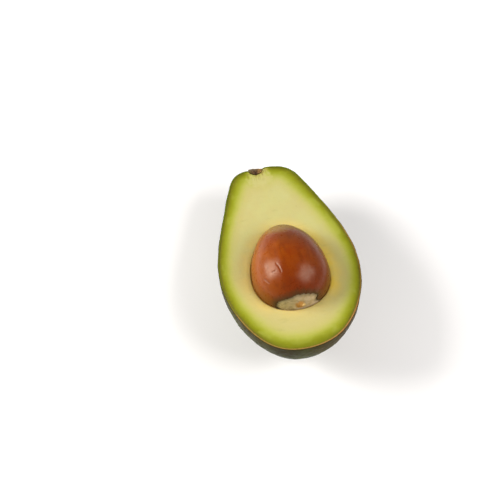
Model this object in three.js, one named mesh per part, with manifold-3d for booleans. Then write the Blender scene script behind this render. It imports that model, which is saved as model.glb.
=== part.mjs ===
// Half an avocado with its stone, lying on its back with the cut face up.
// Millimetres, +Z up. The stem end points along +Y, and the origin is at the
// centre of the bounding box's underside, on the small flat spot that the half rests on.
//
// Each piece is shaped in the frame of the cut: Y along the fruit's axis, Z up
// from the cut face. The group then tips the half to the angle at which it balances.
import * as THREE from "three";
import { mergeVertices } from "three/addons/utils/BufferGeometryUtils.js";
import Module from "manifold-3d";

// Driving dimensions of the fruit
const FRUIT_LENGTH = 115.2;
const FRUIT_WIDTH = 71.2;
const SKIN_THICKNESS = 0.9;
const GAP = 0.3;
const REST_TILT = THREE.MathUtils.degToRad(-5);
const FLAT_DEPTH = 0.35;

// The fruit's outline: how the half-width swells along the axis, from powers of the
// station c, which runs from 1 at the stem end to -1 at the blunt end
const OUTLINE = { scale: 0.975, taper: -0.325, neck: -0.547, shoulder: 0.378, crown: 0.519 };
const END_STRETCH = 0.266;
const AXIS_BEND = 1.4;

// Gentle hollows in the whole fruit, and the leathery unevenness of its skin: the height
// and the length of the waves, and for each wave its run along X, Y and Z and its phase
const LUMPS = {
  height: 0.35,
  length: 46,
  waves: [
    { run: [0.9, 0.5, 0], phase: 0.8 },
    { run: [0, -0.7, 0.8], phase: 2.1 },
  ],
};
const LEATHER = {
  height: 0.16,
  length: 13,
  waves: [
    { run: [1, 0.3, 0], phase: 0.4 },
    { run: [0, 1, -0.4], phase: 1.7 },
    { run: [0.5, 0, 1], phase: 2.9 },
  ],
};

// The stone: an egg along the fruit's axis, its broad end at the blunt end of the fruit.
// Its coat is torn open there, along a plane that faces the blunt end and leans over it
const STONE_HALF_LENGTH = 25;
const STONE_RADIUS = 19.3;
const STONE_TAPER = -0.19;
const STONE_CENTRE = new THREE.Vector3(0.9, -9.2, 0.6);
const COAT_THICKNESS = 0.7;
const TEAR_DISTANCE = 20.5;
const TEAR_TURN = THREE.MathUtils.degToRad(6.5);
const TEAR_LEAN = THREE.MathUtils.degToRad(-11);

// The pit at the stem end, and the woody stub of the stem that is left in it
const PIT_CENTRE = new THREE.Vector3(-2.2, 57.4, 0);
const PIT_RADIUS = 3.9;
const PIT_DEPTH = 4.3;
const STUB_SUNK = 0.5;
const STUB_SLANT = 0.15;

// Facets round and along each curved surface
const FRUIT_SEGMENTS = [48, 36];
const STONE_SEGMENTS = [30, 22];
const PIT_SEGMENTS = [16, 12];

// Working values: the side of a cutting block, the distance within which vertices are
// one, the step of an outline's angle for its slope, and the station of its poles
const CUTTER_SIZE = 300;
const WELD = 1e-4;
const ANGLE_STEP = 1e-3;
const POLE = 1 - 1e-9;

const wasm = await Module();
wasm.setup();

/** A closed three.js geometry as a solid that can be joined and cut. */
function solidOf(geometry) {
  const bare = new THREE.BufferGeometry();
  bare.setAttribute("position", geometry.getAttribute("position"));
  bare.setIndex(geometry.getIndex());
  const merged = mergeVertices(bare, WELD);
  return new wasm.Manifold(
    new wasm.Mesh({
      numProp: 3,
      vertProperties: new Float32Array(merged.getAttribute("position").array),
      triVerts: new Uint32Array(merged.getIndex().array),
    }),
  );
}

/** A solid as a three.js geometry with flat facets. */
function geometryOf(solid) {
  const made = solid.getMesh();
  const positions = new Float32Array(made.numVert * 3);
  for (let i = 0; i < made.numVert; i++) {
    positions.set(made.vertProperties.subarray(i * made.numProp, i * made.numProp + 3), i * 3);
  }
  const indexed = new THREE.BufferGeometry();
  indexed.setAttribute("position", new THREE.BufferAttribute(positions, 3));
  indexed.setIndex(new THREE.BufferAttribute(made.triVerts, 1));
  const flat = indexed.toNonIndexed();
  flat.computeVertexNormals();
  return flat;
}

/** The half-width and the place along the axis of the fruit's outline at station c. */
function fruitProfile(c) {
  const swell =
    OUTLINE.taper * c +
    OUTLINE.neck * c ** 2 +
    OUTLINE.shoulder * c ** 3 +
    OUTLINE.crown * c ** 4;
  const radius = (FRUIT_WIDTH / 2) * OUTLINE.scale * Math.sqrt(Math.max(0, 1 - c * c)) * Math.exp(swell);
  const along = (FRUIT_LENGTH / 2) * (c + END_STRETCH * c * (1 - c * c));
  return { radius, along };
}

/** The outline's outward normal at polar angle t, as its parts across and along the axis. */
function profileNormal(profile, t) {
  const before = profile(Math.cos(Math.max(0, t - ANGLE_STEP)));
  const after = profile(Math.cos(Math.min(Math.PI, t + ANGLE_STEP)));
  const across = -(after.along - before.along);
  const along = after.radius - before.radius;
  const length = Math.hypot(across, along);
  return { across: across / length, along: along / length };
}

/** Height of a set of crossing waves at a point of the fruit's surface. */
function waveHeight({ height, length, waves }, p) {
  const k = (2 * Math.PI) / length;
  const sines = waves.map(({ run, phase }) =>
    Math.sin(k * p.dot(new THREE.Vector3(...run)) + phase),
  );
  return (height * sines.reduce((sum, sine) => sum + sine)) / waves.length;
}

/** A closed surface round the Y axis: its profile, set in by a depth and raised by a relief. */
function turnedSolid(profile, segments, { inset = 0, bend = 0, relief = () => 0 } = {}) {
  const [round, long] = segments;
  const halfStep = Math.PI / round;
  const geometry = new THREE.SphereGeometry(1, round, long, halfStep);
  const position = geometry.getAttribute("position");
  const p = new THREE.Vector3();
  for (let i = 0; i < position.count; i++) {
    p.fromBufferAttribute(position, i);
    const c = THREE.MathUtils.clamp(p.y, -1, 1);
    const spin = Math.atan2(p.z, p.x);
    const { radius, along } = profile(c);
    const normal = profileNormal(profile, Math.acos(c));
    const centre = bend * (1 - c * c);
    p.set(centre + radius * Math.cos(spin), along, radius * Math.sin(spin));
    const height = relief(p) - inset;
    const reach = Math.abs(c) > POLE ? 0 : radius + height * normal.across;
    p.set(centre + reach * Math.cos(spin), along + height * normal.along, reach * Math.sin(spin));
    position.setXYZ(i, p.x, p.y, p.z);
  }
  return solidOf(geometry);
}

/** A block whose one face passes through a point, with the block on the normal's side of it. */
function blockBeyond(point, normal) {
  const block = new THREE.BoxGeometry(CUTTER_SIZE, CUTTER_SIZE, CUTTER_SIZE);
  const away = normal.clone().normalize();
  const turn = new THREE.Quaternion().setFromUnitVectors(new THREE.Vector3(0, 0, 1), away);
  const centre = point.clone().addScaledVector(away, CUTTER_SIZE / 2);
  block.applyMatrix4(new THREE.Matrix4().compose(centre, turn, new THREE.Vector3(1, 1, 1)));
  return solidOf(block);
}

/** The whole fruit, set in from its surface by a depth. */
function wholeFruit(inset, leathery = false) {
  const sets = leathery ? [LUMPS, LEATHER] : [LUMPS];
  const relief = (p) => sets.reduce((sum, set) => sum + waveHeight(set, p), 0);
  return turnedSolid(fruitProfile, FRUIT_SEGMENTS, { inset, bend: AXIS_BEND, relief });
}

/** The whole stone in its place, set in from its surface by a depth. */
function wholeStone(inset) {
  const profile = (c) => ({
    radius: STONE_RADIUS * Math.sqrt(Math.max(0, 1 - c * c)) * Math.exp(STONE_TAPER * c),
    along: STONE_HALF_LENGTH * c,
  });
  return turnedSolid(profile, STONE_SEGMENTS, { inset }).translate(STONE_CENTRE.toArray());
}

/** What lies beyond the plane along which the stone's coat is torn. */
function beyondTear() {
  const normal = new THREE.Vector3(
    Math.sin(TEAR_TURN) * Math.cos(TEAR_LEAN),
    -Math.cos(TEAR_TURN) * Math.cos(TEAR_LEAN),
    Math.sin(TEAR_LEAN),
  );
  return blockBeyond(STONE_CENTRE.clone().addScaledVector(normal, TEAR_DISTANCE), normal);
}

/** The pit at the stem end as a solid, larger all round by a margin. */
function stemPit(margin) {
  const ball = new THREE.SphereGeometry(1, ...PIT_SEGMENTS, Math.PI / PIT_SEGMENTS[0]);
  ball.scale(PIT_RADIUS + margin, PIT_DEPTH + margin, PIT_RADIUS + margin);
  ball.translate(...PIT_CENTRE.toArray());
  return solidOf(ball);
}

const aboveCut = blockBeyond(new THREE.Vector3(0, 0, 0), new THREE.Vector3(0, 0, 1));

/** The thin leathery skin, cut through at its rim and flat where it rests. */
function skin() {
  const down = new THREE.Vector3(0, 0, -1).applyAxisAngle(new THREE.Vector3(1, 0, 0), -REST_TILT);
  const outside = wholeFruit(0, true);
  const corner = new THREE.Vector3();
  let reach = -Infinity;
  const made = outside.getMesh();
  for (let i = 0; i < made.numVert; i++) {
    corner.fromArray(made.vertProperties, i * made.numProp);
    reach = Math.max(reach, corner.dot(down));
  }
  const floorPoint = down.clone().multiplyScalar(reach - FLAT_DEPTH);
  return outside
    .subtract(wholeFruit(SKIN_THICKNESS))
    .subtract(aboveCut)
    .subtract(stemPit(0))
    .subtract(blockBeyond(floorPoint, down));
}

/** The flesh, with the stone's bed in its cut face. */
function flesh() {
  return wholeFruit(SKIN_THICKNESS + GAP)
    .subtract(aboveCut)
    .subtract(stemPit(0))
    .subtract(wholeStone(-GAP));
}

/** The brown coat round the stone, torn open at its base. */
function seedCoat() {
  return wholeStone(0).subtract(wholeStone(COAT_THICKNESS)).subtract(beyondTear());
}

/** The pale seed inside the coat, seen where the coat is torn. */
function seedKernel() {
  return wholeStone(COAT_THICKNESS + GAP);
}

/** The cut half of the stem's woody stub, sunk in its pit. */
function stemStub() {
  const top = PIT_CENTRE.clone().add(new THREE.Vector3(0, -STUB_SUNK, 0));
  return stemPit(-GAP)
    .subtract(aboveCut)
    .subtract(blockBeyond(top, new THREE.Vector3(STUB_SLANT, 1, 0)));
}

const finishes = {
  skin: { color: 0x3d4a1d, roughness: 0.42, metalness: 0 },
  flesh: { color: 0xd8cf84, roughness: 0.5, metalness: 0 },
  seed_coat: { color: 0x8a4418, roughness: 0.35, metalness: 0 },
  seed_kernel: { color: 0xcdbb8c, roughness: 0.6, metalness: 0 },
  stem_stub: { color: 0x5d4428, roughness: 0.85, metalness: 0 },
};

const makers = {
  skin,
  flesh,
  seed_coat: seedCoat,
  seed_kernel: seedKernel,
  stem_stub: stemStub,
};

const half = new THREE.Group();
for (const [name, make] of Object.entries(makers)) {
  const mesh = new THREE.Mesh(geometryOf(make()), new THREE.MeshStandardMaterial(finishes[name]));
  mesh.name = name;
  half.add(mesh);
}
half.rotation.x = REST_TILT;

const avocado = new THREE.Group();
avocado.add(half);
avocado.updateMatrixWorld(true);
const box = new THREE.Box3().setFromObject(avocado, true);
const middle = box.getCenter(new THREE.Vector3());
half.position.set(-middle.x, -middle.y, -box.min.z);

export default avocado;
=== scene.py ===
import math

import bpy
import numpy as np
from mathutils import Matrix, Vector


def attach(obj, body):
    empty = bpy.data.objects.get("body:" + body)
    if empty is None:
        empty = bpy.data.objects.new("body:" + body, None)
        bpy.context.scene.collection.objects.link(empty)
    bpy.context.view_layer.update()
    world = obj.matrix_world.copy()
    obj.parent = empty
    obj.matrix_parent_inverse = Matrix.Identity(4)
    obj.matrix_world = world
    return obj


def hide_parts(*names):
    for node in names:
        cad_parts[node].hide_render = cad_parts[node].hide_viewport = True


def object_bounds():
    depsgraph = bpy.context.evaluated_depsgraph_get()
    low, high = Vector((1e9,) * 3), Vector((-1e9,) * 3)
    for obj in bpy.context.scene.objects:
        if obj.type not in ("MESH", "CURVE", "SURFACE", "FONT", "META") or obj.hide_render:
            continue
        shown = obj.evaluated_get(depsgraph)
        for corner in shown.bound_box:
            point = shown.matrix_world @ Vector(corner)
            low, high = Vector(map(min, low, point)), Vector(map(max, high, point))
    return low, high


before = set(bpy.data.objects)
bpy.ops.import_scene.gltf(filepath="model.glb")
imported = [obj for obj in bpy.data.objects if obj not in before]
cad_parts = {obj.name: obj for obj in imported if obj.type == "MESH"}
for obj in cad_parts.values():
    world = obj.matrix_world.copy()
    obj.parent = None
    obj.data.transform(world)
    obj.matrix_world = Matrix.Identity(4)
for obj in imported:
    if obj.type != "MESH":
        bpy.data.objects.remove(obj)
cad_low, cad_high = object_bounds()

# Shapes are worked out in millimetres in the frame of the cut, which has Y along the
# fruit's axis and Z up from the cut face. to_row() turns them into the row's metres.
MM = 0.001

# Driving dimensions, the same as those of the CAD model
FRUIT_LENGTH = 115.2
FRUIT_WIDTH = 71.2
SKIN_THICKNESS = 0.9
GAP = 0.3
REST_TILT = math.radians(-5)
FLAT_DEPTH = 0.35
OUTLINE = {"scale": 0.975, "taper": -0.325, "neck": -0.547, "shoulder": 0.378, "crown": 0.519}
END_STRETCH = 0.266
AXIS_BEND = 1.4
LUMPS = {"height": 0.35, "length": 46, "waves": [((0.9, 0.5, 0), 0.8), ((0, -0.7, 0.8), 2.1)]}
LEATHER = {
    "height": 0.16,
    "length": 13,
    "waves": [((1, 0.3, 0), 0.4), ((0, 1, -0.4), 1.7), ((0.5, 0, 1), 2.9)],
}
STONE_HALF_LENGTH = 25.0
STONE_RADIUS = 19.3
STONE_TAPER = -0.19
STONE_CENTRE = np.array([0.9, -9.2, 0.6])
COAT_THICKNESS = 0.7
TEAR_DISTANCE = 20.5
TEAR_TURN = math.radians(6.5)
TEAR_LEAN = math.radians(-11)
PIT_CENTRE = np.array([-2.2, 57.4, 0.0])
PIT_RADIUS = 3.9
PIT_DEPTH = 4.3
STUB_SUNK = 0.5
STUB_SLANT = 0.15

# The point from which the fruit's and the bed's surfaces are reached by straight rays
HUB = np.array([STONE_CENTRE[0], STONE_CENTRE[1], 0.0])

# The photograph's camera: its angle over the cut face, its turn, its distance, and the
# size and place of the object in a picture 500 pixels wide
VIEW_OVER_CUT = math.radians(54)
VIEW_TURN = math.radians(-12)
VIEW_DISTANCE = 1.0
PICTURE_WIDTH = 500
PIXELS_PER_MM = 1.982
CUT_CENTRE_PIXEL = (282.9, 254.7)
SENSOR_WIDTH = 36.0

# Room that the flesh leaves round the stone, less than the solids' gap
BED_SLACK = 0.05
BED_UNEVENNESS = 0.05

# Points round each piece's rings
RIM_STEPS = 540
COAT_STEPS = 340
KERNEL_STEPS = 220
STUB_STEPS = 96
STUB_BACK_STEPS = 62

# Rings of each piece
SKIN_RINGS = 118
SKIN_INSIDE_RINGS = 18
BED_RINGS = 26
CUT_RINGS = 92
BACK_RINGS = 24
COAT_RINGS = 168
COAT_INSIDE_RINGS = 40
KERNEL_HIDDEN_RINGS = 60
KERNEL_BASE_RINGS = 150
STUB_RINGS = 30

# Distances from the hub that lie well outside the fruit and outside the stone
BEYOND_FRUIT = 90
BEYOND_STONE = 40
RAY_HALVINGS = 40
STRAIGHT_DOWN = np.radians(90)


# Noise

def lattice_gradients(cells, seed):
    """A unit vector for each cell of a lattice, the same each time for the same seed."""
    h = (cells[..., 0] * 73856093) ^ (cells[..., 1] * 19349663) ^ (cells[..., 2] * 83492791)
    h = (h + seed * 2654435761) & 0xFFFFFFFF
    h = ((h ^ (h >> 15)) * 2246822519) & 0xFFFFFFFF
    h = ((h ^ (h >> 13)) * 3266489917) & 0xFFFFFFFF
    turn = (h & 0xFFFF) / 65535 * 2 * np.pi
    rise = ((h >> 16) & 0xFFFF) / 65535 * 2 - 1
    flat = np.sqrt(1 - rise**2)
    return np.stack([flat * np.cos(turn), flat * np.sin(turn), rise], axis=-1)


def smooth_noise(points, size, seed):
    """Gradient noise from about -0.7 to 0.7, with swellings of about the given size."""
    p = points / size
    base = np.floor(p).astype(np.int64)
    f = p - base
    w = f * f * f * (f * (f * 6 - 15) + 10)
    total = 0
    for corner in np.ndindex(2, 2, 2):
        offset = np.array(corner)
        gradient = lattice_gradients(base + offset, seed)
        weight = np.prod(np.where(offset == 1, w, 1 - w), axis=-1)
        total = total + weight * ((f - offset) * gradient).sum(axis=-1)
    return total


def layered_noise(points, size, seed, layers=3):
    """Smooth noise with finer and weaker layers added."""
    return sum(smooth_noise(points, size / 2**i, seed + i) / 2**i for i in range(layers))


def pebble_field(points, size, seed):
    """Distance to the nearest of a scatter of points, in units of the size."""
    p = points / size
    base = np.floor(p).astype(np.int64)
    nearest = np.full(len(p), 9.0)
    for offset in np.ndindex(3, 3, 3):
        cell = base + np.array(offset) - 1
        place = cell + 0.5 + 0.4 * lattice_gradients(cell, seed)
        nearest = np.minimum(nearest, np.linalg.norm(p - place, axis=-1))
    return nearest


def wave_height(waves, points):
    """Height of a set of crossing waves, as in the CAD model."""
    k = 2 * np.pi / waves["length"]
    sines = [np.sin(k * points @ np.array(run) + phase) for run, phase in waves["waves"]]
    return waves["height"] * sum(sines) / len(sines)


def ease(x, start, end):
    """0 before start and 1 after end, with a smooth rise between them."""
    t = np.clip((x - start) / (end - start), 0, 1)
    return t * t * (3 - 2 * t)


# The fruit's and the stone's surfaces

def fruit_profile(c):
    """The half-width and the place along the axis of the fruit's outline at station c."""
    swell = (
        OUTLINE["taper"] * c + OUTLINE["neck"] * c**2
        + OUTLINE["shoulder"] * c**3 + OUTLINE["crown"] * c**4
    )
    reach = np.sqrt(np.maximum(0, 1 - c * c)) * np.exp(swell)
    half_width = FRUIT_WIDTH / 2 * OUTLINE["scale"] * reach
    return half_width, FRUIT_LENGTH / 2 * (c + END_STRETCH * c * (1 - c * c))


STATIONS = -np.cos(np.linspace(0, np.pi, 4001))
STATION_PLACES = fruit_profile(STATIONS)[1]


def fruit_field(p):
    """Below 0 inside the smooth fruit and above 0 outside it."""
    c = np.interp(p[..., 1], STATION_PLACES, STATIONS)
    radius = fruit_profile(c)[0]
    return np.hypot(p[..., 0] - AXIS_BEND * (1 - c * c), p[..., 2]) - radius


def stone_profile(c):
    """The stone's half-width at station c, from 1 at its narrow end to -1 at its base."""
    return STONE_RADIUS * np.sqrt(np.maximum(0, 1 - c * c)) * np.exp(STONE_TAPER * c)


def stone_field(p):
    """Below 0 inside the stone and above 0 outside it."""
    q = p - STONE_CENTRE
    c = np.clip(q[..., 1] / STONE_HALF_LENGTH, -1, 1)
    return np.hypot(q[..., 0], q[..., 2]) - stone_profile(c)


def field_normal(field, p, step=0.02):
    """The outward unit normal of a surface at points on it."""
    steps = np.eye(3) * step
    g = np.stack([field(p + s) - field(p - s) for s in steps], axis=-1)
    return g / np.maximum(np.linalg.norm(g, axis=-1, keepdims=True), 1e-9)


def cast(field, directions, far):
    """Where rays from the hub leave a surface."""
    near_end, far_end = np.zeros(directions.shape[:-1]), np.full(directions.shape[:-1], float(far))
    for _ in range(RAY_HALVINGS):
        middle = (near_end + far_end) / 2
        inside = field(HUB + directions * middle[..., None]) < 0
        near_end, far_end = np.where(inside, middle, near_end), np.where(inside, far_end, middle)
    return HUB + directions * near_end[..., None]


def ray_directions(turns, dip):
    """Directions at each turn round the vertical, dipping below the cut face."""
    flat = np.cos(dip)
    x, y = flat * np.cos(turns), flat * np.sin(turns)
    return np.stack([x, y, np.full_like(turns, -np.sin(dip))], axis=-1)


def rim_turns():
    """Turns round the hub that space the rim evenly, and more closely at the stem pit."""
    coarse = np.linspace(0, 2 * np.pi, 4001)
    rim = cast(fruit_field, ray_directions(coarse, 0.0), BEYOND_FRUIT)
    step = np.linalg.norm(np.diff(rim, axis=0), axis=1)
    middle = (rim[1:] + rim[:-1]) / 2
    close = np.exp(-((np.linalg.norm(middle - PIT_CENTRE, axis=1) / 7) ** 2))
    walked = np.concatenate([[0], np.cumsum(step * (1 + 2.5 * close))])
    return np.interp(np.linspace(0, walked[-1], RIM_STEPS + 1)[:-1], walked, coarse)


def carve_pit(points, margin):
    """Points that lie in the stem pit, drawn back towards the hub to its wall."""
    radii = np.array([PIT_RADIUS, PIT_DEPTH, PIT_RADIUS]) + np.asarray(margin)[..., None]
    start = (HUB - PIT_CENTRE) / radii
    end = (points - PIT_CENTRE) / radii
    way = end - start
    a, b, c = (way**2).sum(-1), 2 * (way * start).sum(-1), (start**2).sum(-1) - 1
    share = (-b - np.sqrt(np.maximum(0, b * b - 4 * a * c))) / (2 * a)
    inside = (end**2).sum(-1) < 1
    return np.where(inside[..., None], HUB + (points - HUB) * share[..., None], points)


def fruit_ring(turns, dip, inset, relief=None):
    """One ring of the fruit's surface, set in by a depth and raised by a relief."""
    base = cast(fruit_field, ray_directions(turns, dip), BEYOND_FRUIT)
    from_pit = np.linalg.norm(base - PIT_CENTRE, axis=1) - PIT_RADIUS
    height = wave_height(LUMPS, base) - inset - 0.4 * np.exp(-((from_pit / 1.5) ** 2))
    if relief is not None:
        height = height + relief(base)
    return base + field_normal(fruit_field, base) * height[:, None]


def stone_point(t, spin):
    """The point of the stone's surface at polar angle t and at a spin round its axis."""
    c = np.cos(t)
    radius = stone_profile(c)
    x, y, z = radius * np.cos(spin), STONE_HALF_LENGTH * c, radius * np.sin(spin)
    return STONE_CENTRE + np.stack([x, y, z], axis=-1)


TEAR_NORMAL = np.array([
    math.sin(TEAR_TURN) * math.cos(TEAR_LEAN),
    -math.cos(TEAR_TURN) * math.cos(TEAR_LEAN),
    math.sin(TEAR_LEAN),
])


def beyond_tear(p):
    """How far points lie beyond the plane along which the coat is torn."""
    return (p - STONE_CENTRE) @ TEAR_NORMAL - TEAR_DISTANCE


# From the frame of the cut to the row's frame

def tipped(points):
    """Points turned by the tilt at which the half balances."""
    cos, sin = math.cos(REST_TILT), math.sin(REST_TILT)
    x, y, z = points[..., 0], points[..., 1], points[..., 2]
    return np.stack([x, cos * y - sin * z, sin * y + cos * z], axis=-1)


def resting_shift():
    """What brings the tipped fruit over the CAD model's centre and down on its flat spot."""
    turns = np.linspace(0, 2 * np.pi, 241)
    dips = np.linspace(0, np.pi / 2, 91)
    shell = np.concatenate([fruit_ring(turns, d, 0.0) for d in dips])
    shell = tipped(shell)
    low, high = shell.min(axis=0), shell.max(axis=0)
    centre = (np.array(cad_low) + np.array(cad_high)) / 2 / MM
    middle = (low + high) / 2
    return np.array([centre[0] - middle[0], centre[1] - middle[1], -low[2] - FLAT_DEPTH])


SHIFT = resting_shift()


def to_row(points):
    """Points of the cut's frame in the row's frame, in metres."""
    return (tipped(points) + SHIFT) * MM


def row_vector(point):
    """One point of the cut's frame as a vector in the row's frame."""
    return Vector(to_row(np.array(point, float)))


# Meshes

def closed_sweep(name, rings, marks=None):
    """A closed mesh from rings of points, with a pole at each end, and its named numbers."""
    rings = np.array(rings)
    count, around = rings.shape[:2]
    poles = np.stack([rings[0].mean(axis=0), rings[-1].mean(axis=0)])
    points = np.concatenate([rings.reshape(-1, 3), poles])
    row = np.arange(count - 1)[:, None] * around
    here = np.arange(around)[None, :]
    after = (here + 1) % around
    corners = [row + here, row + after, row + around + after, row + around + here]
    quads = np.stack(corners, axis=-1).reshape(-1, 4)
    first_pole, last_pole = count * around, count * around + 1
    last = (count - 1) * around
    start_fan = [(first_pole, int(b), int(a)) for a, b in zip(here[0], after[0])]
    end_fan = [(last_pole, last + int(a), last + int(b)) for a, b in zip(here[0], after[0])]
    faces = [tuple(q) for q in quads.tolist()] + start_fan + end_fan
    a, b, c = (points[quads[:, i]] for i in range(3))
    d = points[quads[:, 3]]
    middle = points.mean(axis=0)
    volume = (np.cross(a - middle, b - middle) * (c - middle)).sum()
    volume += (np.cross(a - middle, c - middle) * (d - middle)).sum()
    if volume < 0:
        faces = [f[::-1] for f in faces]
    mesh = bpy.data.meshes.new(name)
    mesh.from_pydata(to_row(points).tolist(), [], faces)
    mesh.polygons.foreach_set("use_smooth", [True] * len(mesh.polygons))
    for key, values in (marks or {}).items():
        flat = np.asarray(values, float).reshape(count, around)
        ends = [flat[0].mean(), flat[-1].mean()]
        attribute = mesh.attributes.new(key, "FLOAT", "POINT")
        attribute.data.foreach_set("value", np.concatenate([flat.ravel(), ends]).astype(np.float32))
    mesh.update()
    piece = bpy.data.objects.new(name, mesh)
    bpy.context.scene.collection.objects.link(piece)
    return piece


def distance_to(points, line):
    """Distance from each point to the nearest of a closed line's points."""
    found = np.full(len(points), 1e9)
    for start in range(0, len(points), 4000):
        part = points[start:start + 4000]
        gaps = np.linalg.norm(part[:, None, :2] - line[None, :, :2], axis=-1)
        found[start:start + 4000] = gaps.min(axis=1)
    return found


TURNS = rim_turns()


def cut_wave(points):
    """Height of the slight unevenness that the knife left in the cut face."""
    broad = 0.22 * smooth_noise(points, 17, 11)
    strokes = 0.05 * smooth_noise(points * np.array([0.25, 1.0, 1.0]), 2.2, 12)
    return broad + strokes


def skin_relief(points):
    """Leathery waves, low pebbles and fine wrinkles of the skin's outside."""
    warp = np.stack([smooth_noise(points, 5, s) for s in (21, 22, 23)], axis=-1)
    pebbles = np.clip(pebble_field(points + warp, 2.6, 24), 0, 0.75)
    small = np.clip(pebble_field(points + warp, 1.3, 25), 0, 0.7)
    return (
        wave_height(LEATHER, points)
        - 0.18 * (pebbles - 0.4)
        - 0.06 * (small - 0.4)
        + 0.10 * layered_noise(points, 9, 26)
    )


# Insets and drops of the rings that round the skin's cut edge
RIM_SECTION = ((0.02, 0.10), (0.10, 0.02), (0.3, 0.0), (0.55, 0.0), (0.8, 0.02), (0.88, 0.10))


def make_skin():
    """The thin skin: its pebbled outside, its cut rim and its smooth inside."""
    rows, depth = [], []
    for u in np.linspace(1, 0.006, SKIN_RINGS):
        rows.append(fruit_ring(TURNS, STRAIGHT_DOWN * u**1.25, 0.0, skin_relief))
        depth.append(np.zeros(RIM_STEPS))
    edge_noise = 0.10 * smooth_noise(rows[-1], 2.4, 31) + 0.05 * smooth_noise(rows[-1], 0.9, 32)
    for inset, drop in RIM_SECTION:
        ring = fruit_ring(TURNS, 0.0, inset, skin_relief if inset < 0.2 else None)
        share = 1 - inset / SKIN_THICKNESS
        ring[:, 2] = cut_wave(ring) - drop + edge_noise * share
        rows.append(ring)
        depth.append(np.full(RIM_STEPS, inset))
    for u in np.linspace(0.02, 1, SKIN_INSIDE_RINGS):
        rows.append(fruit_ring(TURNS, STRAIGHT_DOWN * u, SKIN_THICKNESS))
        depth.append(np.full(RIM_STEPS, SKIN_THICKNESS))
    rows = [carve_pit(r, 0.0) for r in rows]
    piece = closed_sweep("skin_peel", rows, {"skin_depth": depth})
    settle_on_floor(piece)
    return piece


def settle_on_floor(piece):
    """Flattens what would reach below the surface that the half rests on."""
    co = np.zeros(len(piece.data.vertices) * 3, np.float32)
    piece.data.vertices.foreach_get("co", co)
    co = co.reshape(-1, 3)
    co[:, 2] = np.maximum(co[:, 2], 0)
    piece.data.vertices.foreach_set("co", co.ravel())
    piece.data.update()


def bed_ring(dip):
    """One ring of the bed, which follows the stone with a little uneven room."""
    wall = cast(stone_field, ray_directions(TURNS, dip), BEYOND_STONE)
    slack = BED_SLACK + BED_UNEVENNESS * smooth_noise(wall, 4, 41)
    return wall + field_normal(stone_field, wall) * slack[:, None]


# Heights of the bed's swollen lip and of its edge's and the rim's rounding
LIP_SWELL = 0.12
LIP_DROP = 0.28
RIM_DROP = 0.12


def make_flesh():
    """The flesh: the stone's bed, its soft lip, the cut face and the back under the skin."""
    outer_inset = SKIN_THICKNESS + 0.06
    lip = bed_ring(0.0)
    rim = fruit_ring(TURNS, 0.0, outer_inset)
    rim = carve_pit(rim, 0.12 + 0.3 * np.abs(smooth_noise(rim, 1.5, 44)))
    rows = [bed_ring(STRAIGHT_DOWN * u) for u in np.linspace(1, 0.03, BED_RINGS)]
    u = np.linspace(0, 1, CUT_RINGS)
    shares = 0.45 * (0.5 - 0.5 * np.cos(np.pi * u)) + 0.55 * u
    for share in shares:
        ring = lip + (rim - lip) * share
        from_lip = np.linalg.norm((ring - lip)[:, :2], axis=-1)
        from_rim = np.linalg.norm((ring - rim)[:, :2], axis=-1)
        swell = LIP_SWELL * np.exp(-(((from_lip - 2.2) / 1.6) ** 2))
        lip_drop = LIP_DROP * np.exp(-from_lip / 0.35)
        rim_drop = RIM_DROP * np.exp(-from_rim / 0.3)
        ring[:, 2] = cut_wave(ring) + swell - lip_drop - rim_drop
        ring[:, 2] += 0.03 * smooth_noise(ring, 1.1, 42) + 0.05 * smooth_noise(ring, 3.3, 43)
        rows.append(ring)
    for u in np.linspace(0.02, 1, BACK_RINGS):
        rows.append(carve_pit(fruit_ring(TURNS, STRAIGHT_DOWN * u, outer_inset), 0.15))
    points = np.array(rows).reshape(-1, 3)
    rim_depth = distance_to(points, rim)
    stone_depth = distance_to(points, lip)
    order = np.arange(len(points))
    stone_depth = np.where(order < BED_RINGS * RIM_STEPS, 0, stone_depth)
    rim_depth = np.where(order >= (BED_RINGS + CUT_RINGS) * RIM_STEPS, 0, rim_depth)
    return closed_sweep("flesh_pulp", rows, {"rim_depth": rim_depth, "stone_depth": stone_depth})


def tear_angles(spin):
    """The polar angle at which the coat is torn, at each spin round the stone's axis."""
    t = np.linspace(np.radians(100), np.radians(178), 1200)
    beyond = beyond_tear(stone_point(t[:, None] + 0 * spin[None, :], spin[None, :] + 0 * t[:, None]))
    first = (beyond > 0).argmax(axis=0)
    angle = t[first]
    circle = np.stack([np.cos(spin), np.sin(spin), 0 * spin], axis=-1)
    ragged = 0.055 * smooth_noise(circle, 0.33, 51) + 0.03 * smooth_noise(circle, 0.11, 52)
    flap = 0.22 * np.exp(-(((np.degrees(spin) - 8) / 18) ** 2))
    droop = 0.05 * np.exp(-(((np.degrees(spin) - 48) / 28) ** 2))
    notch = -0.09 * np.exp(-(((np.degrees(spin) - 162) / 20) ** 2))
    return angle + ragged + flap + droop + notch


def from_path(p, path):
    """Distance from points to a line through the given points."""
    nearest = np.full(len(p), 99.0)
    for start, end in zip(path[:-1], path[1:]):
        way = end - start
        share = np.clip(((p - start) @ way) / (way @ way), 0, 1)
        nearest = np.minimum(nearest, np.linalg.norm(p - start - share[:, None] * way, axis=-1))
    return nearest


# Middle of the coat's tan spot, and the stretch of the axis over which it grows tan
COAT_TIP = np.array([-0.8, 9.0, 11.8])
TIP_START, TIP_END = 3.0, 15.0

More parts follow.
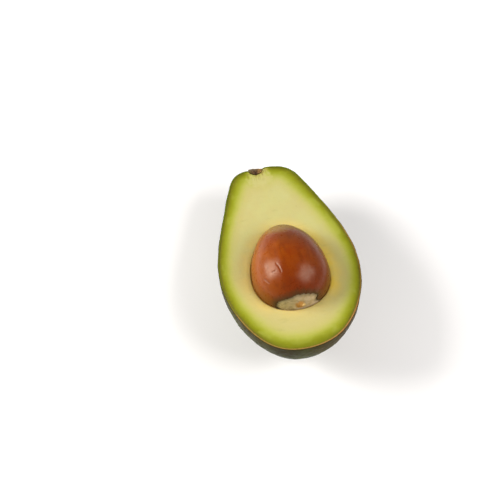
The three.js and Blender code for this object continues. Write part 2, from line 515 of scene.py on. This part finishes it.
# Line of a low ridge on the coat, and the lines of its three short cracks
COAT_RIDGE = np.array([
    [-3.4, 2.0, 18.6], [-4.4, -12.3, 19.5], [-4.1, -17.9, 19.3], [-4.5, -22.8, 17.7], [-6.0, -26.5, 14.9],
])
COAT_CRACKS = [
    np.array([[-7.1, -17.4, 18.2], [-6.3, -19.2, 18.2], [-5.8, -20.9, 17.9], [-5.7, -22.3, 17.5]]),
    np.array([[-9.7, -20.5, 16.1], [-8.9, -20.6, 16.6], [-8.2, -20.5, 16.9]]),
    np.array([[-13.9, -20.9, 11.9], [-13.1, -22.4, 12.0], [-12.1, -24.0, 12.2]]),
]
CRACK_HALF_WIDTH = 0.33
CRACK_DEPTH = 0.16
RIDGE_HEIGHT = 0.24
RIDGE_HALF_WIDTH = 2.0


def crack_share(p):
    """How much of a crack there is at each point, from 0 to 1."""
    shares = [np.exp(-((from_path(p, path) / CRACK_HALF_WIDTH) ** 2)) for path in COAT_CRACKS]
    return np.max(shares, axis=0)


def coat_relief(p):
    """Soft facets, long folds, fine wrinkles, a low ridge and short cracks of the stone's coat."""
    stretched = p * np.array([1.0, 0.22, 1.0])
    warp = np.stack([smooth_noise(p, 9, s) for s in (61, 62, 63)], axis=-1) * 1.2
    folds = smooth_noise(stretched + warp, 3.4, 64)
    height = 0.40 * smooth_noise(p, 15, 65) + 0.09 * folds + 0.015 * layered_noise(p, 2.4, 66, 2)
    height += RIDGE_HEIGHT * np.exp(-((from_path(p, COAT_RIDGE) / RIDGE_HALF_WIDTH) ** 2))
    return height - CRACK_DEPTH * crack_share(p)


# How far the torn edge lifts, and the heights and turns of the rings across its thickness
TEAR_LIFT = 0.28
TORN_SECTION = ((0.0, 0.004), (-0.25, 0.002), (-0.5, -0.004))


def make_coat():
    """The stone's thin brown coat, with its torn and lifted edge at the base."""
    spin = np.linspace(-np.pi, np.pi, COAT_STEPS + 1)[:-1]
    end = tear_angles(spin)
    rows, edge, inner_side, crack = [], [], [], []
    for u in np.linspace(0.004, 1, COAT_RINGS):
        t = end * u
        p = stone_point(t, spin)
        lift = TEAR_LIFT * np.exp(-((1 - u) / 0.03) ** 2) * (0.6 + smooth_noise(p, 2.5, 67))
        height = coat_relief(p) * ease(u, 0, 0.05) + lift
        rows.append(p + field_normal(stone_field, p) * height[:, None])
        edge.append(end * (1 - u) * STONE_HALF_LENGTH)
        inner_side.append(np.zeros(COAT_STEPS))
        crack.append(0.6 * crack_share(p))
    outward = field_normal(stone_field, stone_point(end, spin))
    for height, reach in TORN_SECTION:
        rows.append(stone_point(end + reach, spin) + outward * height)
        edge.append(np.zeros(COAT_STEPS))
        inner_side.append(np.ones(COAT_STEPS))
    for u in np.linspace(0.985, 0.004, COAT_INSIDE_RINGS):
        p = stone_point(end * u, spin)
        rows.append(p - field_normal(stone_field, p) * COAT_THICKNESS)
        edge.append(end * (1 - u) * STONE_HALF_LENGTH)
        inner_side.append(np.ones(COAT_STEPS))
    crack += [np.zeros(COAT_STEPS)] * (len(rows) - len(crack))
    above_cut = [row[:, 2] for row in rows]
    marks = {"edge_depth": edge, "inner_side": inner_side, "crack": crack, "above_cut": above_cut}
    return closed_sweep("stone_coat", rows, marks)


# The small round scar on the seed's base
HILUM = np.array([1.3, -34.0, 3.0])


def make_kernel():
    """The pale seed, whose base fills the tear of the coat."""
    spin = np.linspace(-np.pi, np.pi, KERNEL_STEPS + 1)[:-1]
    edge = tear_angles(spin)
    rows, beyond_rows = [], []
    hidden = np.linspace(0.01, 2.1, KERNEL_HIDDEN_RINGS)
    base = np.linspace(2.11, np.pi - 0.01, KERNEL_BASE_RINGS)
    for t in np.concatenate([hidden, base]):
        p = stone_point(np.full(KERNEL_STEPS, t), spin)
        beyond = (t - edge) * STONE_HALF_LENGTH
        inset = COAT_THICKNESS + GAP + 0.1 - 0.92 * ease(beyond, -1.8, 0.4)
        relief = 0.16 * layered_noise(p, 3.2, 71) * ease(beyond, -1, 1)
        from_hilum = np.linalg.norm(p - HILUM, axis=1)
        bump = 0.35 * np.exp(-((from_hilum / 1.1) ** 2))
        hollow = 0.25 * np.exp(-(((from_hilum - 2.2) / 0.8) ** 2))
        scar = bump - hollow
        rows.append(p + field_normal(stone_field, p) * (relief + scar - inset)[:, None])
        beyond_rows.append(beyond)
    return closed_sweep("stone_kernel", rows, {"beyond_tear": beyond_rows})


def make_stub():
    """The cut half of the stem's woody stub: fibrous on its cut side, rough on its top."""
    bend = np.linspace(np.pi, 2 * np.pi, STUB_BACK_STEPS)
    across = np.linspace(1, -1, STUB_STEPS - STUB_BACK_STEPS + 2)[1:-1]
    outline = np.concatenate([
        np.stack([np.cos(bend), 0 * bend, np.sin(bend)], axis=-1),
        np.stack([across, 0 * across, 0 * across], axis=-1),
    ])
    bottom = -PIT_DEPTH + GAP
    rows = []
    for u in np.linspace(0.02, 1, STUB_RINGS):
        y = bottom * math.cos(u * np.pi / 2) - STUB_SUNK * u
        width = (PIT_RADIUS - GAP + 0.15) * math.sqrt(max(0.0, 1 - (y / bottom) ** 2)) if u < 1 else 0
        ring = outline * width
        ring[:, 1] = y - STUB_SLANT * ring[:, 0] * u
        rows.append(ring)
    top = rows[-2]
    rows = rows[:-1]
    for share in (0.93, 0.75, 0.5, 0.25, 0.03):
        ring = top * share
        ring[:, 1] = top[:, 1].mean() + (top[:, 1] - top[:, 1].mean()) * share + 0.35 * (1 - share**2)
        rows.append(ring)
    rough = []
    for ring in rows:
        p = ring + PIT_CENTRE
        fibre = smooth_noise(p * np.array([1.0, 0.3, 1.0]), 0.55, 81)
        ring = ring * (1.03 - 0.10 * np.abs(smooth_noise(p, 1.9, 83)))[:, None]
        p = ring + PIT_CENTRE
        p = p + np.stack([0.12 * fibre, 0.35 * smooth_noise(p, 0.9, 82), 0.22 * fibre], axis=-1)
        flat_side = outline[:, 2] == 0
        p[:, 2] = np.where(flat_side, 0.1 + 0.35 * fibre, np.minimum(p[:, 2], 0.25))
        rough.append(p)
    return closed_sweep("stem_stump", rough)


# Materials: places t.x, t.y and t.z are in metres of the row's frame, while depths,
# distances and the sizes of noise are in millimetres

def linear(r, g, b):
    """A colour given as it looks on a screen, 0 to 255, as the shader's numbers."""
    def one(v):
        v = v / 255
        return v / 12.92 if v <= 0.04045 else ((v + 0.055) / 1.055) ** 2.4
    return (one(r), one(g), one(b), 1.0)


class Tree:
    """A new material's node tree, with short ways to add nodes and join them."""

    def __init__(self, name):
        self.material = bpy.data.materials.new(name)
        self.material.use_nodes = True
        self.nodes = self.material.node_tree.nodes
        self.links = self.material.node_tree.links
        self.shader = self.nodes["Principled BSDF"]
        self.place = self.add("ShaderNodeTexCoord").outputs["Object"]
        self.x, self.y, self.z = self.add("ShaderNodeSeparateXYZ", {0: self.place}).outputs

    def add(self, kind, inputs=None, **settings):
        """A new node of a kind, with its settings made and its inputs fed."""
        node = self.nodes.new(kind)
        for key, value in settings.items():
            setattr(node, key, value)
        for key, value in (inputs or {}).items():
            self.feed(node.inputs[key], value)
        return node

    def feed(self, socket, value):
        """Links a socket to another node, or sets its own value."""
        if isinstance(value, bpy.types.NodeSocket):
            self.links.new(value, socket)
        else:
            socket.default_value = value

    def number(self, name):
        """One of the mesh's named numbers."""
        return self.add("ShaderNodeAttribute", attribute_name=name).outputs["Fac"]

    def maths(self, operation, a, b=0.0):
        """What an operation makes of two numbers or node outputs."""
        return self.add("ShaderNodeMath", {0: a, 1: b}, operation=operation).outputs[0]

    def times(self, a, b):
        return self.maths("MULTIPLY", a, b)

    def plus(self, a, b):
        return self.maths("ADD", a, b)

    def noise(self, size_mm, detail=3.0, place=None, roughness=0.5, distortion=0.0):
        """Noise from about 0 to 1, with swellings of about the given size."""
        inputs = {
            "Vector": place or self.place, "Scale": 1 / (size_mm * MM), "Detail": detail,
            "Roughness": roughness, "Distortion": distortion,
        }
        return self.add("ShaderNodeTexNoise", inputs).outputs["Fac"]

    def wander(self, size_mm, detail, reach):
        """Noise centred on 0, at most half the reach to either side."""
        return self.times(self.maths("SUBTRACT", self.noise(size_mm, detail), 0.5), reach)

    def cells(self, size_mm, feature="F1"):
        """Distance to the nearest of a scatter of points, in units of the size."""
        inputs = {"Vector": self.place, "Scale": 1 / (size_mm * MM)}
        return self.add("ShaderNodeTexVoronoi", inputs, feature=feature).outputs["Distance"]

    def stretched(self, x, y, z, turn=0.0):
        """The place turned about the vertical and scaled, which draws noise out along an axis."""
        inputs = {"Vector": self.place, "Scale": (x, y, z), "Rotation": (0, 0, turn)}
        return self.add("ShaderNodeMapping", inputs).outputs["Vector"]

    def from_point(self, point):
        """Distance in millimetres from a point given in the row's frame."""
        ends = {0: self.place, 1: point}
        gap = self.add("ShaderNodeVectorMath", ends, operation="DISTANCE").outputs["Value"]
        return self.times(gap, 1 / MM)

    def span(self, value, low, high, to_low=0.0, to_high=1.0):
        """A smooth change from to_low to to_high while the value goes from low to high."""
        inputs = {"Value": value, "From Min": low, "From Max": high, "To Min": to_low, "To Max": to_high}
        return self.add("ShaderNodeMapRange", inputs, interpolation_type="SMOOTHSTEP").outputs["Result"]

    def ramp(self, value, stops, top):
        """Colours at given values, from 0 to top."""
        node = self.add("ShaderNodeValToRGB", {"Fac": self.maths("DIVIDE", value, top)})
        marks = node.color_ramp.elements
        while len(marks) < len(stops):
            marks.new(0.5)
        for mark, (at, colour) in zip(marks, stops):
            mark.position = at / top
        for mark, (at, colour) in zip(marks, stops):
            mark.color = colour
        return node.outputs["Color"]

    def mix(self, share, a, b):
        """Colour a with a share of colour b laid over it."""
        node = self.add("ShaderNodeMix", data_type="RGBA", blend_type="MIX")
        for socket, value in ((node.inputs[0], share), (node.inputs[6], a), (node.inputs[7], b)):
            self.feed(socket, value)
        return node.outputs[2]

    def bump(self, height, distance_mm, strength=1.0, below=None):
        """A normal bent by a height, on top of the bump below it."""
        inputs = {"Height": height, "Distance": distance_mm * MM, "Strength": strength}
        if below is not None:
            inputs["Normal"] = below
        return self.add("ShaderNodeBump", inputs).outputs["Normal"]

    def finish(self, **sockets):
        """Sets the shader's sockets, named with _ for spaces, and returns the material."""
        for key, value in sockets.items():
            self.feed(self.shader.inputs[key.replace("_", " ")], value)
        return self.material


def skin_outside(t):
    """Green with darker and yellower patches and pale dots, ruddy at the lower right."""
    patch = t.noise(6, 4)
    green = t.mix(t.span(t.noise(17, 3), 0.35, 0.65), linear(34, 42, 9), linear(58, 68, 12))
    green = t.mix(t.span(patch, 0.56, 0.74), green, linear(88, 96, 34))
    green = t.mix(t.span(t.noise(2.2, 4), 0.52, 0.7, 0, 0.6), green, linear(34, 42, 18))
    dots = t.span(t.cells(1.9), 0.10, 0.17, 1, 0)
    gate = t.span(t.noise(5, 2), 0.5, 0.6)
    green = t.mix(t.times(dots, t.times(gate, 0.55)), green, linear(132, 136, 76))
    brown = t.span(t.noise(11, 3, t.stretched(1, 0.6, 1)), 0.6, 0.72, 0, 0.6)
    green = t.mix(brown, green, linear(84, 70, 40))
    ruddy = t.times(t.span(t.x, 0.0, 0.026), t.span(t.y, -0.036, 0.006, 0.8, 0.0))
    ruddy = t.times(ruddy, t.span(t.noise(8, 4), 0.38, 0.56, 0.45, 1.0))
    green = t.mix(ruddy, green, linear(78, 54, 4))
    near_rim = t.span(t.z, 0.026, 0.036, 0.0, 0.75)
    return t.mix(t.times(near_rim, t.span(patch, 0.3, 0.6, 0.6, 1.0)), green, linear(56, 44, 6))


def skin_cut_edge(t, depth):
    """Olive at the narrow end and tan round the base, darker next to the outside."""
    low = t.plus(t.y, t.wander(9, 3, 0.03))
    tan = t.maths("MAXIMUM", t.span(low, -0.038, -0.018, 1.0, 0.15), t.span(t.x, 0.012, 0.03, 0.0, 0.6))
    tan = t.times(tan, t.span(low, 0.005, 0.03, 1.0, 0.2))
    rind = t.mix(t.span(t.x, -0.02, 0.025), linear(152, 124, 60), linear(162, 119, 64))
    cut = t.mix(tan, linear(98, 112, 20), rind)
    cut = t.mix(t.span(t.noise(1.4, 3), 0.5, 0.7, 0, 0.35), cut, linear(96, 76, 34))
    return t.mix(t.span(depth, 0.08, 0.4), linear(48, 44, 18), cut)


def skin_material():
    """Satin leathery skin, green outside and paler along its cut edge."""
    t = Tree("avocado_skin")
    depth = t.number("skin_depth")
    colour = t.mix(t.span(depth, 0.01, 0.06), skin_outside(t), skin_cut_edge(t, depth))
    small = t.bump(t.cells(0.9, "SMOOTH_F1"), 0.10, 0.55)
    normal = t.bump(t.noise(0.45, 3), 0.04, 0.5, small)
    gloss = t.span(t.noise(3.0, 3), 0.35, 0.7, 0.42, 0.56)
    return t.finish(
        Base_Color=colour, Roughness=gloss, Normal=normal, Specular_IOR_Level=0.09,
        Specular_Tint=(1.0, 0.93, 0.7, 1.0),
        Subsurface_Weight=0.04, Subsurface_Radius=(0.6, 0.9, 0.2), Subsurface_Scale=MM,
    )


def flesh_depth(t, stem):
    """Depth under the skin that sets the flesh's green, changed where the band is wider."""
    narrowing = t.span(t.y, -0.055, -0.005, 0.66, 1.03)
    narrowing = t.maths("SUBTRACT", narrowing, t.span(t.y, 0.02, 0.05, 0.0, 0.27))
    lower_right = t.times(t.span(t.x, 0.005, 0.02), t.span(t.y, -0.02, 0.01, 0.10, -0.12))
    depth = t.times(t.number("rim_depth"), t.plus(narrowing, lower_right))
    depth = t.plus(depth, t.wander(6, 3, 0.9))
    depth = t.maths("MAXIMUM", t.plus(depth, t.wander(1.6, 3, 0.6)), 0.0)
    below_stem = t.from_point(row_vector(PIT_CENTRE + np.array([0.9, -6.5, 0])))
    pale = t.plus(t.maths("MINIMUM", stem, below_stem), t.wander(2.5, 3, 5.0))
    return t.plus(depth, t.span(pale, 3.2, 7.6, 5.0, 0.0))


def flesh_bands(t, depth):
    """Green under the skin, then yellow-green, then cream, with cloudy changes."""
    colour = t.ramp(depth, [
        (0.0, linear(98, 94, 8)),
        (0.8, linear(118, 119, 6)),
        (1.9, linear(136, 141, 16)),
        (3.1, linear(153, 158, 44)),
        (4.3, linear(170, 171, 72)),
        (5.6, linear(181, 179, 94)),
        (7.2, linear(188, 183, 111)),
        (10.0, linear(192, 187, 122)),
    ], 10.0)
    cloud = t.span(t.noise(13, 3), 0.35, 0.68)
    warm = t.span(t.y, -0.04, -0.005, 0.35, 0.0)
    warm = t.times(warm, t.span(depth, 6.0, 9.0))
    cloud = t.times(cloud, t.span(depth, 3.5, 8.0, 0.0, 0.3))
    cloud = t.maths("MAXIMUM", cloud, warm)
    colour = t.mix(cloud, colour, linear(190, 170, 110))
    pale = t.times(t.span(t.noise(8, 2), 0.5, 0.7, 0.0, 0.3), t.span(depth, 0.6, 2.0))
    pale = t.times(pale, t.span(depth, 4.0, 6.0, 1.0, 0.0))
    colour = t.mix(pale, colour, linear(178, 182, 82))
    base = t.times(t.span(t.y, -0.056, -0.044, 0.5, 0.0), t.span(depth, 1.5, 5.0, 1.0, 0.0))
    return t.mix(base, colour, linear(118, 124, 8))


def flesh_by_the_stone(t, colour):
    """A yellow halo round the stone, lightened beside it as painted light against the stone's shadow, and
    a brown line where the flesh meets the stone, partly a thin brown film and partly painted shade of the
    gap.
    """
    stone = t.number("stone_depth")
    halo = t.times(t.span(stone, 0.0, 9.5, 0.85, 0.0), t.span(t.noise(9, 2), 0.3, 0.65, 0.6, 1.0))
    halo = t.times(halo, t.span(t.y, -0.044, -0.022, 0.25, 1.0))
    # Halo tints: the flesh's own yellow, made lighter on the left and more on the right as painted light
    # where the stone shades the flesh.
    halo_tint_with_painted_fill = t.mix(t.span(t.x, 0.008, 0.02), linear(215, 184, 100), linear(224, 190, 60))
    colour = t.mix(halo, colour, halo_tint_with_painted_fill)
    # Brown line round the stone's bed: painted shade of the gap where the flesh meets the stone, together
    # with a thin brown film.
    return t.mix(t.span(stone, 0.15, 0.9, 0.55, 0.0), colour, linear(150, 108, 44))


def flesh_by_the_stem(t, colour, stem):
    """Fibres that run down from the stem and a brown mark round it."""
    fibres = t.noise(1.0, 2, t.stretched(1.6, 0.16, 1))
    veined = t.times(t.span(stem, 3.5, 9.0, 0.8, 0.0), t.span(fibres, 0.5, 0.62))
    colour = t.mix(veined, colour, linear(150, 132, 66))
    scar = t.span(stem, 3.0, 5.0, 0.7, 0.0)
    return t.mix(t.times(scar, t.span(t.noise(1.4, 3), 0.42, 0.58)), colour, linear(128, 96, 46))


def flesh_marks(t, colour):
    """A few specks and the faint smears of the knife."""
    specks = t.times(t.span(t.cells(7.5), 0.035, 0.075, 1, 0), t.span(t.noise(10, 2), 0.5, 0.58, 0, 0.5))
    colour = t.mix(specks, colour, linear(120, 116, 44))
    smear = t.span(t.noise(2.6, 3, t.stretched(0.35, 1, 1, 0.3)), 0.6, 0.75, 0, 0.16)
    return t.mix(smear, colour, linear(150, 146, 74))


def flesh_material():
    """Moist cream flesh, greener towards the skin and yellower towards the stone."""
    t = Tree("avocado_flesh")
    stem = t.from_point(row_vector(PIT_CENTRE + np.array([0.6, -1.5, 0])))
    colour = flesh_bands(t, flesh_depth(t, stem))
    colour = flesh_by_the_stone(t, colour)
    colour = flesh_by_the_stem(t, colour, stem)
    colour = flesh_marks(t, colour)
    strokes = t.bump(t.noise(1.5, 2, t.stretched(0.12, 1, 1, 0.25)), 0.10, 0.35)
    normal = t.bump(t.noise(0.5, 3), 0.05, 0.35, strokes)
    gloss = t.span(t.noise(4, 3), 0.35, 0.65, 0.48, 0.56)
    return t.finish(
        Base_Color=colour, Roughness=gloss, Normal=normal, Specular_IOR_Level=0.32,
        Subsurface_Weight=0.22, Subsurface_Radius=(1.0, 0.75, 0.25), Subsurface_Scale=1.2 * MM,
    )


def coat_ground(t):
    """Orange-brown, redder low down, darker on the right as painted shade and lighter on the left as
    painted light, tan at the tip, and dark olive next to the flesh as painted shade.
    """
    colour = t.mix(t.span(t.noise(13, 2), 0.36, 0.64), linear(128, 50, 5), linear(150, 72, 7))
    low = t.span(t.y, -0.026, -0.004, 0.8, 0.0)
    colour = t.mix(low, colour, linear(110, 38, 6))
    # Darker on the right: painted shade on the side turned away from the left softbox.
    right = t.span(t.x, 0.004, 0.015, 0.0, 0.6)
    colour = t.mix(right, colour, linear(96, 40, 2))
    # Lighter orange on the left: painted light on the side that the left softbox lights.
    left = t.span(t.x, -0.018, -0.002, 0.75, 0.0)
    colour = t.mix(left, colour, linear(141, 70, 9))
    upper = t.span(t.y, -0.011, 0.001, 0.0, 0.85)
    upper = t.times(upper, t.span(t.x, -0.009, 0.0))
    colour = t.mix(upper, colour, linear(112, 50, 6))
    from_tip = t.plus(t.from_point(row_vector(COAT_TIP)), t.wander(3, 3, 3.0))
    top = t.span(from_tip, 3.0, 10.0, 0.85, 0.0)
    start, end = row_vector((0, TIP_START, 0)).y, row_vector((0, TIP_END, 0)).y
    cap = t.span(t.y, start, end, 0.0, 0.6)
    colour = t.mix(t.maths("MAXIMUM", top, cap), colour, linear(148, 112, 50))
    # Dark olive low on the stone, next to the flesh: painted shade where the stone sits in its bed.
    painted_shade_by_flesh = t.plus(t.number("above_cut"), t.times(t.noise(4, 2), 3.0))
    return t.mix(t.span(painted_shade_by_flesh, 1.0, 11.0, 0.65, 0.0), colour, linear(92, 62, 12))


def coat_material():
    """Satin brown coat with long streaks and veins, darker along its torn edge, partly the coat's own
    colour and partly painted shade.
    """
    t = Tree("stone_coat")
    streaks = t.noise(2.6, 1, t.stretched(1, 0.16, 1))
    colour = t.mix(t.span(streaks, 0.52, 0.72, 0, 0.28), coat_ground(t), linear(98, 38, 10))
    lines = t.noise(4.5, 0, t.stretched(1, 0.12, 1), distortion=0.3)
    vein = t.maths("ABSOLUTE", t.maths("SUBTRACT", lines, 0.5))
    vein = t.times(t.span(vein, 0.0, 0.05, 1, 0), t.span(t.noise(6, 2), 0.45, 0.6, 0, 0.2))
    colour = t.mix(vein, colour, linear(74, 28, 8))
    # Dark band along the torn edge: the coat's darker edge, partly painted shade next to the tear.
    ragged = t.plus(t.number("edge_depth"), t.wander(2.0, 3, 2.5))
    colour = t.mix(t.span(ragged, 0.0, 5.0, 0.85, 0.0), colour, linear(70, 50, 24))
    colour = t.mix(t.number("inner_side"), colour, linear(52, 34, 18))
    colour = t.mix(t.number("crack"), colour, linear(96, 32, 8))
    groove = t.bump(vein, 0.05, -0.3)
    wrinkles = t.bump(t.noise(2.2, 1, t.stretched(1, 0.3, 1)), 0.06, 0.25, groove)
    normal = t.bump(t.noise(0.7, 1), 0.02, 0.08, wrinkles)
    gloss = t.span(t.noise(2.5, 3), 0.35, 0.7, 0.27, 0.36)
    return t.finish(
        Base_Color=colour, Roughness=gloss, Normal=normal, Specular_IOR_Level=0.28,
        Specular_Tint=(1.0, 0.84, 0.66, 1.0),
        Subsurface_Weight=0.06, Subsurface_Radius=(1.0, 0.4, 0.15), Subsurface_Scale=MM,
    )


def kernel_material():
    """Pale dull seed, greyer and olive at its left, with painted shade under the coat's torn edge and the
    small ochre scar of its base, beside which a bright spot is a painted highlight.
    """
    t = Tree("stone_kernel")
    colour = t.mix(t.span(t.noise(2.2, 3), 0.38, 0.64), linear(174, 150, 108), linear(190, 168, 132))
    left = t.plus(t.x, t.wander(2.5, 3, 0.006))
    colour = t.mix(t.span(left, -0.010, 0.002, 0.75, 0.0), colour, linear(182, 166, 110))
    streak = t.noise(1.0, 3, t.stretched(0.4, 1.5, 1.5, -0.3))
    streaked = t.times(t.span(streak, 0.5, 0.68), t.span(left, -0.008, 0.003, 0.55, 0.1))
    colour = t.mix(streaked, colour, linear(104, 80, 48))
    # Dark olive next to the coat's torn edge: painted shade cast by the overhanging coat on the seed.
    beyond = t.number("beyond_tear")
    colour = t.mix(t.span(beyond, 0.1, 2.8, 0.75, 0.0), colour, linear(96, 80, 48))
    scar = t.from_point(row_vector(HILUM))
    ragged = t.plus(scar, t.wander(1.0, 3, 1.8))
    colour = t.mix(t.span(ragged, 1.5, 3.1, 0.9, 0.0), colour, linear(182, 126, 46))
    # Pale bright spot beside the scar: a painted highlight.
    bright = t.from_point(row_vector(HILUM + np.array([1.9, 0.0, -0.6])))
    colour = t.mix(t.span(bright, 0.5, 1.3, 0.9, 0.0), colour, linear(246, 212, 140))
    normal = t.bump(t.noise(0.8, 3), 0.10, 0.5)
    return t.finish(
        Base_Color=colour, Roughness=t.span(t.noise(2, 2), 0.3, 0.7, 0.5, 0.7), Normal=normal,
        Subsurface_Weight=0.12, Subsurface_Radius=(1.0, 0.8, 0.4), Subsurface_Scale=MM,
    )


def stub_material():
    """Dry brown fibrous wood, olive on its left, tan on its right and grey on its top."""
    t = Tree("stem_stub")
    fibres = t.noise(0.5, 3, t.stretched(1, 0.25, 1))
    colour = t.mix(t.span(fibres, 0.35, 0.65), linear(58, 38, 20), linear(104, 76, 44))
    middle = row_vector(PIT_CENTRE)
    across = t.maths("SUBTRACT", t.x, middle.x)
    right = t.span(across, 0.0002, 0.0022, 0.0, 0.75)
    colour = t.mix(right, colour, linear(168, 126, 66))
    blotch = t.span(t.noise(1.3, 3), 0.48, 0.6, 0.0, 0.75)
    colour = t.mix(blotch, colour, linear(46, 28, 16))
    left = t.span(across, -0.0034, -0.0016, 0.7, 0.0)
    colour = t.mix(left, colour, linear(104, 92, 34))
    top = t.span(t.maths("SUBTRACT", t.y, middle.y), -0.0022, -0.0004, 0.0, 0.8)
    colour = t.mix(top, colour, linear(112, 98, 74))
    normal = t.bump(fibres, 0.18, 0.8)
    return t.finish(Base_Color=colour, Roughness=0.85, Normal=normal, Specular_IOR_Level=0.3)


# Stage, light and camera

def view_axes():
    """The camera's right, up and backward directions in the row's frame."""
    rise = VIEW_OVER_CUT - REST_TILT
    a = VIEW_TURN
    right = Vector((math.cos(a), math.sin(a), 0))
    back = Vector((math.sin(a) * math.cos(rise), -math.cos(a) * math.cos(rise), math.sin(rise)))
    return right, back.cross(right), back


def make_camera():
    """The photograph's camera, aimed so that the cut face's centre falls on its pixel."""
    right, up, back = view_axes()
    data = bpy.data.cameras.new("camera")
    data.sensor_width = SENSOR_WIDTH
    data.lens = PIXELS_PER_MM * VIEW_DISTANCE / MM * SENSOR_WIDTH / PICTURE_WIDTH
    off_right = (CUT_CENTRE_PIXEL[0] - PICTURE_WIDTH / 2) / PIXELS_PER_MM * MM
    off_down = (CUT_CENTRE_PIXEL[1] - PICTURE_WIDTH / 2) / PIXELS_PER_MM * MM
    camera = bpy.data.objects.new("camera", data)
    camera.location = row_vector((0, 0, 0)) - right * off_right + up * off_down + back * VIEW_DISTANCE
    camera.rotation_euler = Matrix((right, up, back)).transposed().to_euler()
    bpy.context.scene.collection.objects.link(camera)
    bpy.context.scene.camera = camera


SOFTBOX_DISTANCE = 0.6


def make_softbox(name, azimuth, elevation, size, power, tint):
    """An area light that faces the fruit from a direction, given in degrees."""
    a, e = math.radians(azimuth), math.radians(elevation)
    away = Vector((math.sin(a) * math.cos(e), -math.cos(a) * math.cos(e), math.sin(e)))
    data = bpy.data.lights.new(name, "AREA")
    data.shape = "RECTANGLE"
    data.size, data.size_y = size
    data.energy = power
    data.color = tint
    light = bpy.data.objects.new(name, data)
    light.location = row_vector((0, 0, 0)) + away * SOFTBOX_DISTANCE
    light.rotation_euler = away.to_track_quat("Z", "Y").to_euler()
    bpy.context.scene.collection.objects.link(light)


def make_lights():
    """A low bright softbox at the left, a higher weaker one at the right, and a grey surround."""
    make_softbox("left_softbox", -105, 29, (0.32, 0.32), 5.1, (1.0, 0.97, 0.94))
    make_softbox("right_softbox", 62, 44, (0.44, 0.34), 3.5, (1.0, 0.97, 0.95))
    world = bpy.data.worlds.new("surround")
    world.use_nodes = True
    nodes, links = world.node_tree.nodes, world.node_tree.links
    direction = nodes.new("ShaderNodeTexCoord").outputs["Generated"]
    rise = nodes.new("ShaderNodeSeparateXYZ")
    links.new(direction, rise.inputs[0])
    level = nodes.new("ShaderNodeMapRange")
    links.new(rise.outputs["Z"], level.inputs["Value"])
    for key, value in {"From Min": 0.1, "From Max": 0.9, "To Min": 0.36, "To Max": 0.08}.items():
        level.inputs[key].default_value = value
    background = nodes["Background"]
    background.inputs["Color"].default_value = (1.0, 1.0, 1.0, 1.0)
    links.new(level.outputs["Result"], background.inputs["Strength"])
    bpy.context.scene.world = world


FLOOR_HALF = 1.6


def make_floor():
    """A plain pale floor."""
    corners = [(x * FLOOR_HALF, y * FLOOR_HALF, 0) for x, y in ((-1, -1), (1, -1), (1, 1), (-1, 1))]
    mesh = bpy.data.meshes.new("floor")
    mesh.from_pydata(corners, [], [(0, 1, 2, 3)])
    floor = bpy.data.objects.new("floor", mesh)
    bpy.context.scene.collection.objects.link(floor)
    t = Tree("pale_floor")
    shade = t.span(t.noise(60, 2), 0.3, 0.7)
    colour = t.mix(shade, (0.95, 0.95, 0.95, 1), (0.96, 0.96, 0.96, 1))
    floor.data.materials.append(t.finish(Base_Color=colour, Roughness=0.9, Specular_IOR_Level=0.1))


# Each piece's mesh and material, the CAD node that it replaces and its material slot
PIECES = [
    (make_skin, skin_material, "skin", "skin"),
    (make_flesh, flesh_material, "flesh", "flesh"),
    (make_coat, coat_material, "seed_coat", "seed_coat"),
    (make_kernel, kernel_material, "seed_kernel", "seed_kernel"),
    (make_stub, stub_material, "stem_stub", "stem_stub"),
]

make_camera()
make_lights()
make_floor()
for make, material, node, slot in PIECES:
    piece = make()
    piece.data.materials.append(material())
    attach(piece, "root")
    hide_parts(node)
bpy.context.scene.view_settings.view_transform = "Standard"
